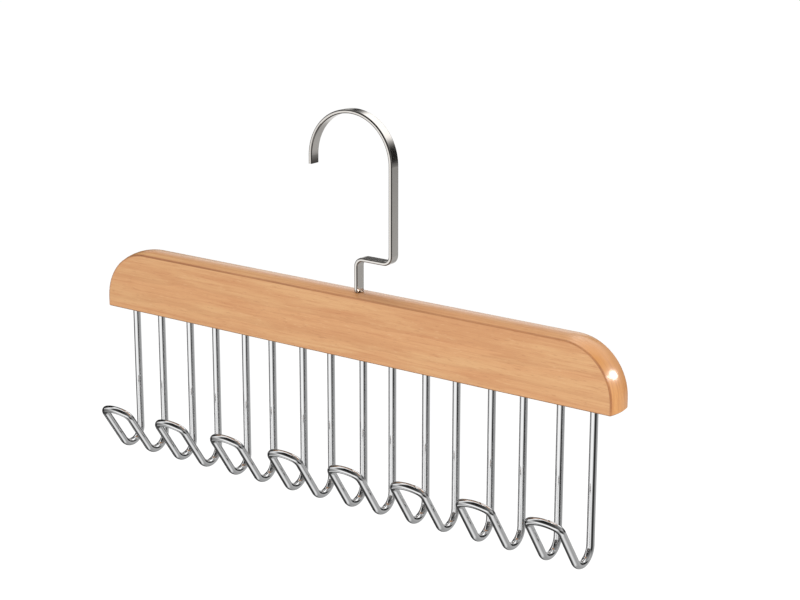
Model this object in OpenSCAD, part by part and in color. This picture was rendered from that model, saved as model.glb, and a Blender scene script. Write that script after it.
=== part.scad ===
// Tie hanger: a wooden bar with a row of bent-wire hooks under it, hung from a flat strip hook that
// swivels in the bar's top. Millimetres, +Z up, +X along the bar, the wire hooks open towards -Y.
// The origin is the top of the rod space, where the hook rests on a wardrobe rod.

/* [Wooden bar] */
// Length of the bar's flat front face
bar_l = 320; // [280:1:420]
// Height of the bar's flat front face
bar_h = 32.5; // [30:0.5:50]
// Thickness of the bar, front to back
bar_t = 16; // [12:0.5:24]
// Radius of the rounded upper corners, on the flat face
bar_end_r = 27.2; // [15:0.1:29]
// How far the top and ends crown up in the middle of the thickness
bar_crown = 1.2; // [0.6:0.1:2]
// Radius that eases the sharp edges between the flat faces and the crown
bar_edge_r = 0.6; // [0.3:0.1:1]
// Width of the small bevel round the underside
foot_bevel = 0.6; // [0.3:0.1:0.8]
// Width of the small bevel at the mouth of each hole
mouth_bevel = 0.3; // [0.2:0.05:0.5]

/* [Wire hooks] */
// Number of wire hooks
hook_count = 8; // [4:1:8]
// Distance from one wire hook to the next
hook_pitch = 39.3; // [30:0.1:46]
// Diameter of the wire
wire_d = 4; // [3:0.1:5]
// Distance between the two legs of a wire hook, centre to centre
leg_gap = 18.4; // [14:0.1:22]
// Length of leg glued into the bar
leg_in = 11; // [8:0.5:12]
// Drop from the bar's underside to the bottom of the bend, on the wire's centre line
wire_drop = 77; // [60:0.5:110]
// Radius of the bottom bend, on the wire's centre line
bend_r = 7.7; // [5:0.1:11]
// Slope of the arm above the horizontal
arm_slope = 56; // [35:1:70]
// Length of the arm from the bottom bend to the top of the loop
arm_l = 27.6; // [16:0.2:36]
// Radius of the loop's corners, on the wire's centre line
loop_corner_r = 4; // [2.5:0.1:6]
// Radius of the bowed crossbar, on the wire's centre line
loop_bow_r = 18; // [13:0.5:60]

/* [Strip hook] */
// Thickness of the flat strip
strip_t = 2; // [1.6:0.1:3]
// Width of the flat strip
strip_w = 6.2; // [5:0.1:8]
// Radius of the strip's long edges
strip_edge_r = 0.7; // [0.3:0.1:0.7]
// Width of the rod space inside the arch
rod_space = 48; // [40:1:60]
// Straight length at the free end of the arch
tip_l = 4.2; // [2:0.1:12]
// Drop from the arch's centre to the sideways step
step_drop = 49.3; // [35:0.1:80]
// Radius of the two step bends, on the strip's centre line
step_bend_r = 4.2; // [3:0.1:6]
// Height of the step above the bar's top
neck_h = 17.6; // [12:0.1:30]
// Distance of the neck to the right of the arch's centre
neck_x = 3.5; // [0:0.1:8]
// Distance of the bar's middle to the left of the arch's centre
bar_shift = 4.4; // [0:0.1:8]

/* [Swivel] */
// Diameter of the round shank that turns in the bar
shank_d = 4; // [3:0.1:5]
// Depth of the shank in the bar
shank_in = 19.5; // [14:0.5:20]
// Diameter of the groove that the retaining pin runs in
groove_d = 2.4; // [2:0.1:3]
// Distance of the groove's middle from the shank's lower end
groove_up = 3.2; // [2.4:0.1:5]
// Diameter of the retaining pin
pin_d = 2; // [1.5:0.1:2.5]
// Length of the retaining pin
pin_l = 13; // [10:0.5:15]
// Running clearance round the shank
run_gap = 0.08; // [0.04:0.01:0.1]
// Glue or crush gap round a piece fixed in the wood
seat_gap = 0.03; // [0.02:0.01:0.05]
// Clearance between the strip and the wood, and at the groove's walls
face_gap = 0.25; // [0.2:0.05:0.5]

/* [Hidden] */
$fn = 96;
wood = [0.86, 0.65, 0.46];
bright = [0.80, 0.81, 0.82];
satin = [0.68, 0.67, 0.65];
// Strip hook, in the plane of the bar
arch_r = rod_space / 2 + strip_t / 2;
arch_z = -rod_space / 2;
step_z = arch_z - step_drop;
// Bar
crown_z = step_z - neck_h;
bar_top = crown_z - bar_crown;
bar_foot = bar_top - bar_h;
bar_x = -bar_shift;
crown_r = (pow(bar_t / 2, 2) + pow(bar_crown, 2)) / (2 * bar_crown);
edge_proud = 0.004;
// Shank, groove and pin
shank_foot = crown_z - shank_in;
groove_z = shank_foot + groove_up;
groove_h = pin_d + 2 * face_gap;
pin_x = neck_x - groove_d / 2 - face_gap - pin_d / 2;
pin_sunk = 0.2;
leg_chamfer = 0.5;
end_play = 0.4;
taper_h = 0.8;
// How far a cut runs past the face that it goes through
past = 1;
// Wire hooks
leg_x = leg_gap / 2;
lap = 0.2;
bent_d = wire_d + 0.02;
bow_half = asin((leg_x - loop_corner_r) / (loop_bow_r - loop_corner_r));
corner_turn = 90 - bow_half;
bow_mid = arm_l - loop_bow_r;
corner_mid = bow_mid + (loop_bow_r - loop_corner_r) * cos(bow_half);
lap_turn = lap / loop_bow_r * 180 / PI;

function hook_x(i) = bar_x + (i - (hook_count + 1) / 2) * hook_pitch;

// Cross-section of the bar's rim: square below, crowned at height h, with its two edges eased.
// It lies with the height along X and the thickness along Y. Each easing circle stands a hair proud of
// the two faces that it joins, so it crosses them cleanly.
module rim(h) {
    mid = h + bar_crown - crown_r;
    set_in = bar_edge_r - edge_proud;
    ease_y = bar_t / 2 - set_in;
    ease_x = mid + sqrt(pow(crown_r - set_in, 2) - pow(ease_y, 2));
    turn = asin(ease_y / (crown_r - set_in));
    difference() {
        intersection() {
            translate([0, -bar_t / 2]) square([h + 2 * bar_crown, bar_t]);
            translate([mid, 0]) rotate(180) circle(r = crown_r);
        }
        for (side = [0, 1])
            mirror([0, side])
                difference() {
                    polygon([[ease_x, ease_y],
                             [ease_x + 2 * bar_edge_r * cos(turn), ease_y + 2 * bar_edge_r * sin(turn)],
                             [h + 2 * bar_crown, bar_t],
                             [ease_x, bar_t]]);
                    translate([ease_x, ease_y]) circle(r = bar_edge_r);
                }
    }
}

module bar_block() {
    half_l = bar_l / 2 - bar_end_r;
    corner_z = bar_top - bar_end_r;
    translate([bar_x - half_l, 0, bar_foot])
        rotate([0, -90, 180])
            linear_extrude(2 * half_l) rim(bar_h);
    for (side = [-1, 1])
        translate([bar_x + side * half_l, 0, 0])
            rotate([0, 0, side > 0 ? 0 : 180]) {
                translate([0, 0, bar_foot]) linear_extrude(corner_z - bar_foot) rim(bar_end_r);
                translate([0, 0, corner_z])
                    rotate([90, 0, 0])
                        rotate_extrude(angle = 90) rim(bar_end_r);
            }
}

// What the bevel round the underside takes off: a long wedge at the front and back, a ring at each end
module foot_edges() {
    for (side = [0, 1]) {
        mirror([0, side, 0])
            translate([bar_x - bar_l / 2 - 2 * bar_crown, bar_t / 2, bar_foot])
                rotate([90, 0, 90])
                    linear_extrude(bar_l + 4 * bar_crown) bevel_profile();
        translate([bar_x, 0, bar_foot])
            mirror([side, 0, 0])
                translate([bar_l / 2 + bar_crown - crown_r, 0, 0])
                    rotate([0, 0, -45])
                        rotate_extrude(angle = 90)
                            translate([crown_r, 0]) bevel_profile();
    }
}

module bevel_profile() {
    polygon([[-foot_bevel - past, -past], [past, foot_bevel + past], [past, -past]]);
}

// A hole's bevelled mouth, from the surface inwards along +Z
module mouth(d) {
    translate([0, 0, -past]) cylinder(d1 = d + 2 * (mouth_bevel + past), d2 = d, h = mouth_bevel + past);
}

module bar() {
    color(wood)
        difference() {
            bar_block();
            foot_edges();
            for (i = [1 : hook_count], side = [-1, 1])
                translate([hook_x(i) + side * leg_x, 0, bar_foot]) {
                    translate([0, 0, -past])
                        cylinder(d = wire_d + 2 * seat_gap, h = leg_in + end_play + past);
                    mouth(wire_d + 2 * seat_gap);
                }
            translate([neck_x, 0, shank_foot - end_play])
                cylinder(d = shank_d + 2 * run_gap, h = shank_in + end_play + past);
            translate([neck_x, 0, crown_z]) mirror([0, 0, 1]) mouth(shank_d + 2 * run_gap);
            translate([pin_x, bar_t / 2 + past, groove_z])
                rotate([90, 0, 0])
                    cylinder(d = pin_d + 2 * seat_gap, h = pin_l + pin_sunk + end_play + past);
        }
}

// One wire hook: two legs, two bottom bends, two arms and a bowed crossbar, bent from one wire.
// A tight bend swells a hair, and each straighter stretch runs a short lap into the bend at its end.
module leg() {
    low = bend_r - wire_drop - lap;
    translate([leg_x, 0, low]) cylinder(d = wire_d, h = leg_in - leg_chamfer - low);
    translate([leg_x, 0, leg_in - leg_chamfer])
        cylinder(d1 = wire_d, d2 = wire_d - 2 * leg_chamfer, h = leg_chamfer);
}

module bottom_bend() {
    translate([leg_x, -bend_r, bend_r - wire_drop])
        rotate([-90, 0, 90])
            rotate_extrude(angle = 90 + arm_slope)
                translate([bend_r, 0]) circle(d = bent_d);
}

// The arm and its half of the loop, laid flat: the arm runs along +Y from the end of the bottom bend
module arm_and_corner() {
    translate([leg_x, -lap, 0]) rotate([-90, 0, 0]) cylinder(d = wire_d, h = corner_mid + 2 * lap);
    translate([leg_x - loop_corner_r, corner_mid, 0])
        rotate_extrude(angle = corner_turn)
            translate([loop_corner_r, 0]) circle(d = bent_d);
}

module loop() {
    for (side = [0, 1]) mirror([side, 0, 0]) arm_and_corner();
    translate([0, bow_mid, 0])
        rotate([0, 0, corner_turn - lap_turn])
            rotate_extrude(angle = 2 * (bow_half + lap_turn))
                translate([loop_bow_r, 0]) circle(d = wire_d);
}

module wire_hook(i) {
    arm_y = -bend_r - bend_r * sin(arm_slope);
    arm_z = bend_r - wire_drop - bend_r * cos(arm_slope);
    color(bright)
        translate([hook_x(i), 0, bar_foot]) {
            for (side = [0, 1])
                mirror([side, 0, 0]) {
                    leg();
                    bottom_bend();
                }
            translate([0, arm_y, arm_z]) rotate([180 - arm_slope, 0, 0]) loop();
        }
}

// Cross-section of the strip: its thickness along X, its width along Y, with rounded long edges
module strip() {
    square([strip_t - 2 * strip_edge_r, strip_w], center = true);
    square([strip_t, strip_w - 2 * strip_edge_r], center = true);
    for (x = [-1, 1], y = [-1, 1])
        translate([x * (strip_t / 2 - strip_edge_r), y * (strip_w / 2 - strip_edge_r)])
            circle(r = strip_edge_r);
}

// A bend of the strip in the plane of the bar, from one angle through the next
module strip_bend(x, z, r, from, turn) {
    translate([x, 0, z])
        rotate([90, 0, 0])
            rotate([0, 0, from])
                rotate_extrude(angle = turn)
                    translate([r, 0]) strip();
}

module strip_down(x, top, low) {
    translate([x, 0, low]) linear_extrude(top - low) strip();
}

module shank() {
    top = crown_z + face_gap;
    difference() {
        union() {
            translate([neck_x, 0, shank_foot + leg_chamfer])
                cylinder(d = shank_d, h = top - shank_foot - leg_chamfer);
            translate([neck_x, 0, shank_foot])
                cylinder(d1 = shank_d - 2 * leg_chamfer, d2 = shank_d, h = leg_chamfer);
            translate([neck_x, 0, top]) cylinder(d1 = shank_d, d2 = strip_t, h = taper_h);
        }
        translate([neck_x, 0, groove_z - groove_h / 2])
            difference() {
                cylinder(d = shank_d + 2, h = groove_h);
                cylinder(d = groove_d, h = groove_h);
            }
    }
}

module hook() {
    color(satin) {
        strip_down(-arch_r, arch_z, arch_z - tip_l);
        strip_bend(0, arch_z, arch_r, 0, 180);
        strip_down(arch_r, arch_z, step_z + step_bend_r);
        strip_bend(arch_r - step_bend_r, step_z + step_bend_r, step_bend_r, -90, 90);
        translate([neck_x + step_bend_r, 0, step_z])
            rotate([0, 90, 0])
                linear_extrude(arch_r - neck_x - 2 * step_bend_r) strip();
        strip_bend(neck_x + step_bend_r, step_z - step_bend_r, step_bend_r, 90, 90);
        strip_down(neck_x, step_z - step_bend_r, crown_z + face_gap);
        shank();
    }
}

// The pin is driven from the back into the wood beside the shank and stands in the shank's groove
module retaining_pin() {
    color(satin)
        translate([pin_x, bar_t / 2 - pin_sunk, groove_z])
            rotate([90, 0, 0]) {
                cylinder(d = pin_d, h = pin_l - pin_d / 2);
                translate([0, 0, pin_l - pin_d / 2]) cylinder(d1 = pin_d, d2 = pin_d / 4, h = pin_d / 2);
            }
}

bar();
hook();
retaining_pin();
for (i = [1 : hook_count])
    wire_hook(i);
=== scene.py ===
"""Tie hanger: a lacquered beech bar, eight bright wire hooks and a satin strip hook, in a white studio."""
from math import cos, pi, radians, sin

import bpy
from mathutils import Matrix, Vector


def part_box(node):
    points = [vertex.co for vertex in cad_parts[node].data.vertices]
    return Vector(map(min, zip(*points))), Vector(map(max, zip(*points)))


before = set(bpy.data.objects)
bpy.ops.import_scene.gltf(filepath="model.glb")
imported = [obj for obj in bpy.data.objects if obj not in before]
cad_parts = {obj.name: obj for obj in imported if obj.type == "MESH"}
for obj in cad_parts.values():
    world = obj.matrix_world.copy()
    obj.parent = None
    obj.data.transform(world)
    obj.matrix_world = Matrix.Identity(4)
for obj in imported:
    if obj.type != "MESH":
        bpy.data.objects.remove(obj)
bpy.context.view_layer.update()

MM = 0.001

# Sizes of the bar that its finish follows, in millimetres
bar_low, bar_high = (Vector(corner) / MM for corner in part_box("bar"))
BAR_CROWN = 1.2
BAR_END_R = 27.2
BAR_MIDDLE = (bar_low + bar_high) / 2
BAR_HALF_T = (bar_high.y - bar_low.y) / 2
BAR_HALF_L = (bar_high.x - bar_low.x) / 2 - BAR_CROWN
BAR_TOP = bar_high.z - BAR_CROWN
# Where the tree's pith lay, behind the bar, how thick a year's growth is and how far it wanders
PITH_Y = 46
PITH_Z = -98
LAYER_T = 2.3
LAYER_WANDER = 5
# The strip hook's free end: how low it hangs, how high its dark inner face reaches and where it ends
TIP_Z = -28.2
TIP_DARK_H = 7
TIP_RIGHT = -18

# Beech as it looks on a screen, each part 0 to 255: its ground, and what lies over that
TAN = (231, 178, 123)
PINK_TAN = (227, 168, 114)
STREAK = (210, 142, 91)
LATE_WOOD = (188, 118, 68)
FINE_GRAIN = (204, 136, 86)
DARK_FLECK = (186, 116, 70)
PALE_FLECK = (242, 200, 150)
END_TAN = (228, 161, 92)
# Painted shade on the upward-facing rounded corners of the bar's ends
END_TOP_SHADE = (206, 138, 66)
END_LINE = (192, 120, 68)
# Painted shade on the bevel round the bar's underside
UNDER_BEVEL_SHADE = (140, 92, 60)
# A painted dark reflection along the bar's sharp front and back edges
ARRIS_DARK_REFLECTION = (160, 98, 58)
# Nickel plate on the strip, and chrome on the wire
PLATE = (232, 227, 220)
PALE_PLATE = (240, 236, 231)
# Painted shade on the strip just above where it goes into the wood
PLATE_FOOT_SHADE = (168, 140, 116)
PLATE_IN_SHADE = (70, 66, 62)
# A painted dark reflection on the strip's rounded edges
PLATE_ROUNDING_DARK_REFLECTION = (96, 93, 90)
CHROME = (238, 239, 240)
PALE_CHROME = (246, 246, 246)


class Value:
    """A socket of a material's nodes. Sums on it add Math nodes to that material."""

    def __init__(self, graph, socket):
        self.graph = graph
        self.socket = socket

    def math(self, operation, *others):
        return self.graph.math(operation, self, *others)

    def __add__(self, other):
        return self.math("ADD", other)

    def __sub__(self, other):
        return self.math("SUBTRACT", other)

    def __mul__(self, other):
        return self.math("MULTIPLY", other)

    def __truediv__(self, other):
        return self.math("DIVIDE", other)

    def __pow__(self, other):
        return self.math("POWER", other)

    def __neg__(self):
        return self.math("MULTIPLY", -1)

    def __rsub__(self, other):
        return self.graph.math("SUBTRACT", other, self)

    __radd__ = __add__
    __rmul__ = __mul__


class Graph:
    """The nodes of one material, or of the world."""

    def __init__(self, owner):
        owner.use_nodes = True
        self.tree = owner.node_tree
        self.tree.nodes.clear()

    def add(self, kind, settings=None, sockets=None, output=0):
        """Adds a node: its settings first, then the values or links of its sockets."""
        node = self.tree.nodes.new(kind)
        for name, setting in (settings or {}).items():
            if name == "stops":
                set_stops(node.color_ramp, setting)
            else:
                setattr(node, name, setting)
        for name, value in (sockets or {}).items():
            if isinstance(value, Value):
                self.tree.links.new(value.socket, node.inputs[name])
            else:
                node.inputs[name].default_value = value
        return Value(self, node.outputs[output] if node.outputs else None)

    def math(self, operation, *numbers):
        return self.add("ShaderNodeMath", {"operation": operation}, dict(enumerate(numbers)))

    def place(self):
        """Object coordinates, in millimetres."""
        coordinates = self.add("ShaderNodeTexCoord", output="Object")
        return self.add("ShaderNodeVectorMath", {"operation": "SCALE"}, {0: coordinates, "Scale": 1 / MM})

    def facing(self):
        """Which way the surface faces, along each axis of the hanger."""
        return self.axes(self.add("ShaderNodeTexCoord", output="Normal"))

    def axes(self, vector):
        split = self.add("ShaderNodeSeparateXYZ", sockets={0: vector}).socket.node
        return [Value(self, part) for part in split.outputs]

    def noise(self, place, per_mm, shift=(0, 0, 0), detail=2.0, roughness=0.5, distortion=0.0):
        """Noise with its own grain: per_mm is how many of its spots go in a millimetre of each axis."""
        vector = self.add("ShaderNodeMapping", sockets={"Vector": place, "Location": shift, "Scale": per_mm})
        return self.add("ShaderNodeTexNoise", sockets={
            "Vector": vector,
            "Scale": 1.0,
            "Detail": detail,
            "Roughness": roughness,
            "Distortion": distortion,
        })

    def step(self, value, low, high, to_low=0.0, to_high=1.0):
        """A smooth step from one level to another while the value goes from low to high."""
        sockets = {"Value": value, 1: low, 2: high, 3: to_low, 4: to_high}
        return self.add("ShaderNodeMapRange", {"interpolation_type": "SMOOTHSTEP"}, sockets)

    def blend(self, factor, first, second):
        """Two colours mixed."""
        return self.add("ShaderNodeMix", {"data_type": "RGBA"}, {0: factor, 6: first, 7: second}, output=2)

    def finish(self, shader, kind="ShaderNodeOutputMaterial"):
        self.add(kind, sockets={"Surface": shader})


def set_stops(ramp, stops):
    """Gives a ramp its stops, each a place and a grey level."""
    while len(ramp.elements) > 1:
        ramp.elements.remove(ramp.elements[-1])
    for index, (where, level) in enumerate(stops):
        element = ramp.elements[0] if index == 0 else ramp.elements.new(where)
        element.position = where
        element.color = grey(level)


def grey(level):
    return (level, level, level, 1.0)


def colour(on_screen):
    """A colour given as it looks on a screen, in the linear form that Blender mixes."""
    parts = [level / 255 for level in on_screen]
    return tuple(p / 12.92 if p <= 0.04045 else ((p + 0.055) / 1.055) ** 2.4 for p in parts) + (1.0,)


def bar_edge_distance(graph, place):
    """How far a point of the bar is inside the outline of its flat front face, in millimetres."""
    x, _, z = graph.axes(place)
    along = (x - BAR_MIDDLE.x).math("ABSOLUTE") - (BAR_HALF_L - BAR_END_R)
    above = z - (BAR_TOP - BAR_END_R)
    across = along.math("MAXIMUM", 0) ** 2 + above.math("MAXIMUM", 0) ** 2
    return BAR_END_R - across.math("SQRT")


def growth_layers(graph, place, wander):
    """The dark late wood of each year: thin shells about a pith that lies behind the bar."""
    _, y, z = graph.axes(place)
    from_pith = ((y - PITH_Y) ** 2 + (z - PITH_Z) ** 2).math("SQRT") + wander * LAYER_WANDER
    year = (from_pith / LAYER_T).math("FRACT")
    return graph.step(year, 0.35, 0.92) * graph.step(year, 0.92, 1.0, 1.0, 0.0)


def front_and_back_edges(graph, place):
    """Where the painted dark reflection lies: a line along the sharp edges between the bar's flat faces and
    its crown.
    """
    inside = bar_edge_distance(graph, place)
    off_face = (graph.axes(place)[1].math("ABSOLUTE") - BAR_HALF_T).math("ABSOLUTE")
    line = graph.step((inside - 0.15).math("ABSOLUTE"), 0.25, 0.65, 1.0, 0.0)
    return line * graph.step(off_face, 0.5, 1.2, 1.0, 0.0)


def beech():
    """Lacquered beech: tan and pink bands, growth layers, streaks along the bar, flecks; painted shade on
    the end tops and the lower bevel, and a painted dark reflection along the sharp edges.
    """
    material = bpy.data.materials.new("lacquered_beech")
    graph = Graph(material)
    place = graph.place()
    broad = graph.noise(place, (0.010, 0.10, 0.10), (3.1, 0.4, 7.7), 3, 0.55, 0.6)
    streaks = graph.noise(place, (0.028, 0.95, 0.95), (1.7, 9.2, 4.4), 4, 0.62, 0.5)
    fine = graph.noise(place, (0.07, 2.6, 2.6), (5.0, 2.0, 8.0), 3, 0.6)
    fleck = graph.noise(place, (0.20, 1.9, 1.9), (0.3, 6.6, 2.5), 2, 0.5)
    end_lines = graph.noise(place, (0.03, 0.80, 0.05), (2.2, 5.1, 1.3), 3, 0.6, 0.3)
    layers = growth_layers(graph, place, broad)

    body = graph.blend(graph.step(broad, 0.36, 0.62), colour(TAN), colour(PINK_TAN))
    body = graph.blend(graph.step(streaks, 0.46, 0.76) * 0.70, body, colour(STREAK))
    body = graph.blend(layers * 0.22, body, colour(LATE_WOOD))
    body = graph.blend(graph.step(fine, 0.42, 0.78) * 0.40, body, colour(FINE_GRAIN))
    body = graph.blend(graph.step(fleck, 0.62, 0.72) * 0.36, body, colour(DARK_FLECK))
    body = graph.blend(graph.step(fleck, 0.27, 0.35, 1.0, 0.0) * 0.35, body, colour(PALE_FLECK))

    # The ends take up more of the finish and show the grain end on; their upward-facing rounded corners get
    # painted shade
    facing = graph.facing()
    ends = facing[0].math("ABSOLUTE")
    body = graph.blend(graph.step(ends, 0.25, 0.80) * 0.75, body, colour(END_TAN))
    end_top_shade = graph.step(ends * facing[2], 0.12, 0.48)
    body = graph.blend(end_top_shade * 0.60, body, colour(END_TOP_SHADE))
    end_dark = graph.step(end_lines, 0.50, 0.66) * graph.step(ends, 0.45, 0.85)
    body = graph.blend(end_dark * 0.55, body, colour(END_LINE))
    # Painted shade on the bevel round the underside, but not on the flat underside itself
    under = graph.step(facing[2], -0.5, -0.2, 1.0, 0.0) * graph.step(facing[2], -0.97, -0.8)
    body = graph.blend(under * 0.6, body, colour(UNDER_BEVEL_SHADE))
    # A painted dark reflection along the sharp front and back edges, varied with the broad grain
    arris_dark_reflection = front_and_back_edges(graph, place) * graph.step(broad, 0.3, 0.6, 0.85, 0.5)
    body = graph.blend(arris_dark_reflection, body, colour(ARRIS_DARK_REFLECTION))

    bump = graph.add("ShaderNodeBump", sockets={
        "Strength": 0.1,
        "Distance": 0.02 * MM,
        "Height": fine * 0.7 + fleck * 0.4,
    })
    graph.finish(graph.add("ShaderNodeBsdfPrincipled", sockets={
        "Base Color": body,
        "Roughness": graph.step(fine, 0.3, 0.7, 0.40, 0.50),
        "Specular IOR Level": 0.3,
        "Coat Weight": 0.8,
        "Coat Roughness": 0.17,
        "Normal": bump,
    }))
    return material


def bright_plate():
    """Bright plated wire: a mirror with very slight waves and a faint haze."""
    material = bpy.data.materials.new("bright_plated_wire")
    graph = Graph(material)
    place = graph.place()
    waves = graph.noise(place, (0.16, 0.16, 0.06), detail=1)
    haze = graph.noise(place, (0.5, 0.5, 0.15), detail=2)
    bump = graph.add("ShaderNodeBump", sockets={"Strength": 0.4, "Distance": 0.1 * MM, "Height": waves})
    graph.finish(graph.add("ShaderNodeBsdfPrincipled", sockets={
        "Base Color": graph.blend(haze, colour(CHROME), colour(PALE_CHROME)),
        "Metallic": 1.0,
        "Roughness": graph.step(haze, 0.3, 0.7, 0.045, 0.07),
        "Normal": bump,
    }))
    return material


def satin_plate():
    """Satin plated strip: brushed wide faces, smoother narrow edges, a painted dark reflection on the
    rounded edges and painted shade where it meets the wood.
    """
    material = bpy.data.materials.new("satin_plated_strip")
    graph = Graph(material)
    place = graph.place()
    brushed = graph.noise(place, (0.05, 7.0, 0.05), detail=3, roughness=0.65)
    cloud = graph.noise(place, (0.12, 0.3, 0.12), detail=2)
    x, _, z = graph.axes(place)
    facing = graph.facing()
    edgewise = facing[1].math("ABSOLUTE")
    narrow = graph.step(edgewise, 0.35, 0.85)
    rounding_dark_reflection = graph.step(edgewise, 0.08, 0.30) * graph.step(edgewise, 0.93, 0.995, 1.0, 0.0)

    plate = graph.blend(cloud, colour(PLATE), colour(PALE_PLATE))
    # Painted shade on the plate just above where the strip goes into the wood
    foot_shade = graph.step(z - bar_high.z, 0.9, 1.8, 0.85, 0.0)
    plate = graph.blend(foot_shade, plate, colour(PLATE_FOOT_SHADE))
    free_end = graph.step(x, TIP_RIGHT - 2, TIP_RIGHT, 1.0, 0.0) * graph.step(facing[0], 0.5, 0.9)
    free_end = free_end * graph.step(z, TIP_Z, TIP_Z + TIP_DARK_H, 1.0, 0.0)
    plate = graph.blend(free_end * 0.85, plate, colour(PLATE_IN_SHADE))
    # A painted dark reflection on the rounded narrow edges
    plate = graph.blend(rounding_dark_reflection * 0.85, plate, colour(PLATE_ROUNDING_DARK_REFLECTION))

    dull = graph.step(brushed, 0.3, 0.7, 0.12, 0.20)
    bump = graph.add("ShaderNodeBump", sockets={"Strength": 0.2, "Distance": 0.02 * MM, "Height": brushed})
    graph.finish(graph.add("ShaderNodeBsdfPrincipled", sockets={
        "Base Color": plate,
        "Metallic": 1.0,
        "Roughness": dull + narrow * (0.07 - dull),
        "Normal": bump,
    }))
    return material


def give_finishes():
    """Each finish goes to the slots of the nodes that are made of it."""
    finishes = {"beech": beech(), "satin_plate": satin_plate(), "bright_plate": bright_plate()}
    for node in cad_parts.values():
        for slot in node.material_slots:
            slot.material = finishes[slot.material.name.split(".")[0]]


# The photograph's viewing angle in degrees, its distance and its aim in millimetres
VIEW_TURN = 36.07
VIEW_TILT = 15.62
VIEW_ROLL = 0.11
VIEW_DISTANCE = 990.68
VIEW_AIM = Vector((29.08, 0, -91.12))
LENS = 89.55
SENSOR = 36
# The middle of the hanger, which the studio stands about
CENTRE = Vector((0, 0, -105))
# The place on the bar's right end where the small lamp glints
GLINT = Vector((153.35, -2.8, -106.0))


def towards(turn, tilt):
    """The direction that lies at this turn and height from the hanger, turn 0 being straight in front."""
    turn, tilt = radians(turn), radians(tilt)
    return Vector((sin(turn) * cos(tilt), -cos(turn) * cos(tilt), sin(tilt)))


def add_camera():
    back = towards(VIEW_TURN, VIEW_TILT)
    level = Vector((cos(radians(VIEW_TURN)), sin(radians(VIEW_TURN)), 0))
    upright = back.cross(level)
    roll = radians(VIEW_ROLL)
    right = level * cos(roll) + upright * sin(roll)
    up = upright * cos(roll) - level * sin(roll)
    lens = bpy.data.cameras.new("camera")
    lens.lens = LENS
    lens.sensor_width = SENSOR
    camera = bpy.data.objects.new("camera", lens)
    turned = Matrix((right, up, back)).transposed().to_4x4()
    camera.matrix_world = Matrix.Translation((VIEW_AIM + back * VIEW_DISTANCE) * MM) @ turned
    bpy.context.collection.objects.link(camera)
    bpy.context.scene.camera = camera


def add_lamp(name, turn, tilt, distance, size, watts, about=CENTRE, lean=0):
    """A soft oval lamp that faces the hanger. Metal doesn't mirror it: that sees the tent."""
    light = bpy.data.lights.new(name, "AREA")
    light.shape = "ELLIPSE"
    light.size, light.size_y = size
    light.energy = watts
    lamp = bpy.data.objects.new(name, light)
    facing = towards(turn, tilt)
    turned = facing.to_track_quat("Z", "Y").to_matrix().to_4x4() @ Matrix.Rotation(radians(lean), 4, "Z")
    lamp.matrix_world = Matrix.Translation(about * MM + facing * distance) @ turned
    lamp.visible_camera = False
    lamp.visible_glossy = False
    bpy.context.collection.objects.link(lamp)
    return lamp


def add_lamps():
    """Three wide lamps that light the whole hanger, and two that only the bar's lacquer mirrors."""
    add_lamp("front_lamp", turn=12, tilt=10, distance=2.2, size=(1.6, 1.6), watts=20)
    add_lamp("side_lamp", turn=95, tilt=4, distance=2.2, size=(1.2, 1.2), watts=18)
    add_lamp("top_lamp", turn=-125, tilt=62, distance=2.2, size=(1.4, 1.4), watts=17)
    # A glint on the bar's right end, and a sheen on its back edge
    end_lamp = add_lamp("end_lamp", turn=136.8, tilt=17.2, distance=1.5, size=(0.74, 0.30), watts=13,
                        about=GLINT, lean=-22)
    back_lamp = add_lamp("back_lamp", turn=215, tilt=14, distance=2.2, size=(1.3, 0.6), watts=1.1)
    wood = bpy.data.collections.new("wood")
    wood.objects.link(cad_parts["bar"])
    for lamp in (end_lamp, back_lamp):
        lamp.visible_glossy = True
        lamp.visible_diffuse = False
        lamp.light_linking.receiver_collection = wood


SOFT_LIGHT = 0.6
FLOOR_Z = -1.6
FLOOR_SIZE = 40
FLOOR_GLOW = 0.45


def add_world():
    """Soft even light, and a white surround for what the camera, metal and glass see."""
    world = bpy.data.worlds.new("studio")
    bpy.context.scene.world = world
    graph = Graph(world)
    seen = graph.add("ShaderNodeLightPath", output="Is Camera Ray")
    seen = seen.math("MAXIMUM", graph.add("ShaderNodeLightPath", output="Is Glossy Ray"))
    seen = seen.math("MAXIMUM", graph.add("ShaderNodeLightPath", output="Is Transmission Ray"))
    soft = graph.add("ShaderNodeBackground", sockets={"Color": grey(1), "Strength": SOFT_LIGHT})
    white = graph.add("ShaderNodeBackground", sockets={"Color": grey(1), "Strength": 1.0})
    shader = graph.add("ShaderNodeMixShader", sockets={0: seen, 1: soft, 2: white})
    graph.finish(shader, "ShaderNodeOutputWorld")


def add_floor():
    """A plain pale floor well under the hanger, which keeps its soft shadow."""
    bpy.ops.object.select_all(action="DESELECT")
    bpy.ops.mesh.primitive_plane_add(size=FLOOR_SIZE, location=(0, 0, FLOOR_Z))
    floor = bpy.context.object
    floor.name = "floor"
    material = bpy.data.materials.new("pale_floor")
    graph = Graph(material)
    paint = graph.add("ShaderNodeBsdfDiffuse", sockets={"Color": grey(0.95)})
    glow = graph.add("ShaderNodeEmission", sockets={"Color": grey(1), "Strength": FLOOR_GLOW})
    graph.finish(graph.add("ShaderNodeAddShader", sockets={0: paint, 1: glow}))
    floor.data.materials.append(material)
    floor.visible_glossy = False
    floor.visible_diffuse = False


TENT_R = 3.0
FULL_TURN = 360
BLACK = 0.015
WHITE = 1.0
BRIGHT = 1.3
FLOOR_CLOTH = 0.50

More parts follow.
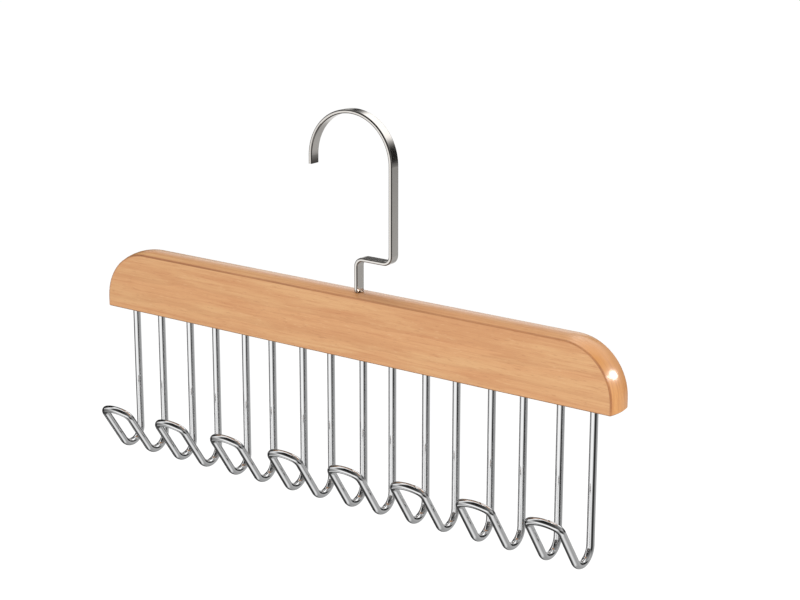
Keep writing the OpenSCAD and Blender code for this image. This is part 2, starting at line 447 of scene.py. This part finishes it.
# What hangs in the tent at each height: the turn in degrees from straight in front, and how light it is
OVERHEAD = [(-157, BRIGHT), (-149, 0.12), (-126, 0.12), (-116, 0.90), (-66, 0.90), (-52, BLACK),
            (-12, BLACK), (40, 0.10), (95, 0.25), (140, 0.30), (152, BRIGHT)]
AT_EYE_HEIGHT = [(-166, 0.45), (-158, 0.65), (-140, 0.65), (-132, BLACK), (-86, BLACK), (-74, 0.85),
                 (-60, 0.85), (-46, 0.08), (-15, 0.06), (60, 0.12), (95, 0.45), (160, 0.40)]
BELOW_EYE_HEIGHT = [(-141, 0.75), (-134, BLACK), (-78, BLACK), (-70, 0.15), (-58, 0.30), (-46, 0.65),
                    (-34, WHITE), (16, WHITE), (32, 0.75), (44, 0.30), (53, 0.02), (88, 0.03),
                    (103, 0.18), (128, 0.40), (185, 0.45), (200, 0.75)]
UNDERFOOT = [(-150, 0.10), (-66, 0.03), (-28, 0.03), (22, 0.36), (52, 0.82), (88, 0.82), (106, 0.50),
             (122, 0.34), (190, 0.36)]
# The rows from the floor's cloth up: the tilts between which each fades in over the row below it
ROWS = (
    (-86, -77, UNDERFOOT),
    (-42, -30, BELOW_EYE_HEIGHT),
    (-4, 4, AT_EYE_HEIGHT),
    (18, 30, OVERHEAD),
)
# Cards hung before the rows: the turns, 0 to 360 from straight in front, and the tilts that each lies
# between, how soft its edges are and how light it is
CARDS = (
    (126, 160, -8, 21, 7, BLACK),
    (188, 238, 12, 24, 4, BLACK),
    (234, 282, 6, 42, 4, BLACK),
    (150, 200, -12, 6, 3, BLACK),
    (274, 312, -57, -43, 4, 0.80),
)


def panels(graph, turn, stops):
    """The tent's paint at one height: light and dark cloths by the turn about the hanger."""
    rising = sorted(((where + FULL_TURN / 2) % FULL_TURN / FULL_TURN, level) for where, level in stops)
    first, last = rising[0], rising[-1]
    gap = first[0] + 1 - last[0]
    seam = last[1] + (first[1] - last[1]) * (1 - last[0]) / gap
    rising = [(0, seam)] + rising + [(1, seam)]
    return graph.add("ShaderNodeValToRGB", {"stops": rising}, {0: (turn + FULL_TURN / 2) / FULL_TURN})


def tent_material():
    """Light and dark cloths that the metal and the lacquer mirror, like the cards of a studio."""
    material = bpy.data.materials.new("studio_tent")
    graph = Graph(material)
    x, y, z = graph.axes(graph.place())
    turn = graph.math("ARCTAN2", x, -y) * (180 / pi)
    height = (z / (TENT_R / MM)).math("ARCSINE") * (180 / pi)
    paint = grey(FLOOR_CLOTH)
    for low, high, cloths in ROWS:
        paint = graph.blend(graph.step(height, low, high), paint, panels(graph, turn, cloths))
    from_front = graph.math("ARCTAN2", -x, y) * (180 / pi) + FULL_TURN / 2
    for left, right, low, high, soft, level in CARDS:
        card = graph.step(from_front, left - soft, left + soft) * graph.step(height, low - soft, low + soft)
        card = card * graph.step(from_front, right - soft, right + soft, 1.0, 0.0)
        card = card * graph.step(height, high - soft, high + soft, 1.0, 0.0)
        paint = graph.blend(card, paint, grey(level))
    graph.finish(graph.add("ShaderNodeEmission", sockets={"Color": paint, "Strength": 1.0}))
    material.cycles.emission_sampling = "NONE"
    return material


def add_tent():
    """A round tent about the hanger, which only metal and lacquer see."""
    bpy.ops.object.select_all(action="DESELECT")
    bpy.ops.mesh.primitive_uv_sphere_add(segments=96, ring_count=48, radius=TENT_R, location=CENTRE * MM)
    tent = bpy.context.object
    tent.name = "tent"
    tent.data.materials.append(tent_material())
    for seen_by in ("camera", "diffuse", "shadow", "transmission"):
        setattr(tent, "visible_" + seen_by, False)


give_finishes()
add_camera()
add_world()
add_floor()
add_tent()
add_lamps()
bpy.context.scene.view_settings.view_transform = "Standard"
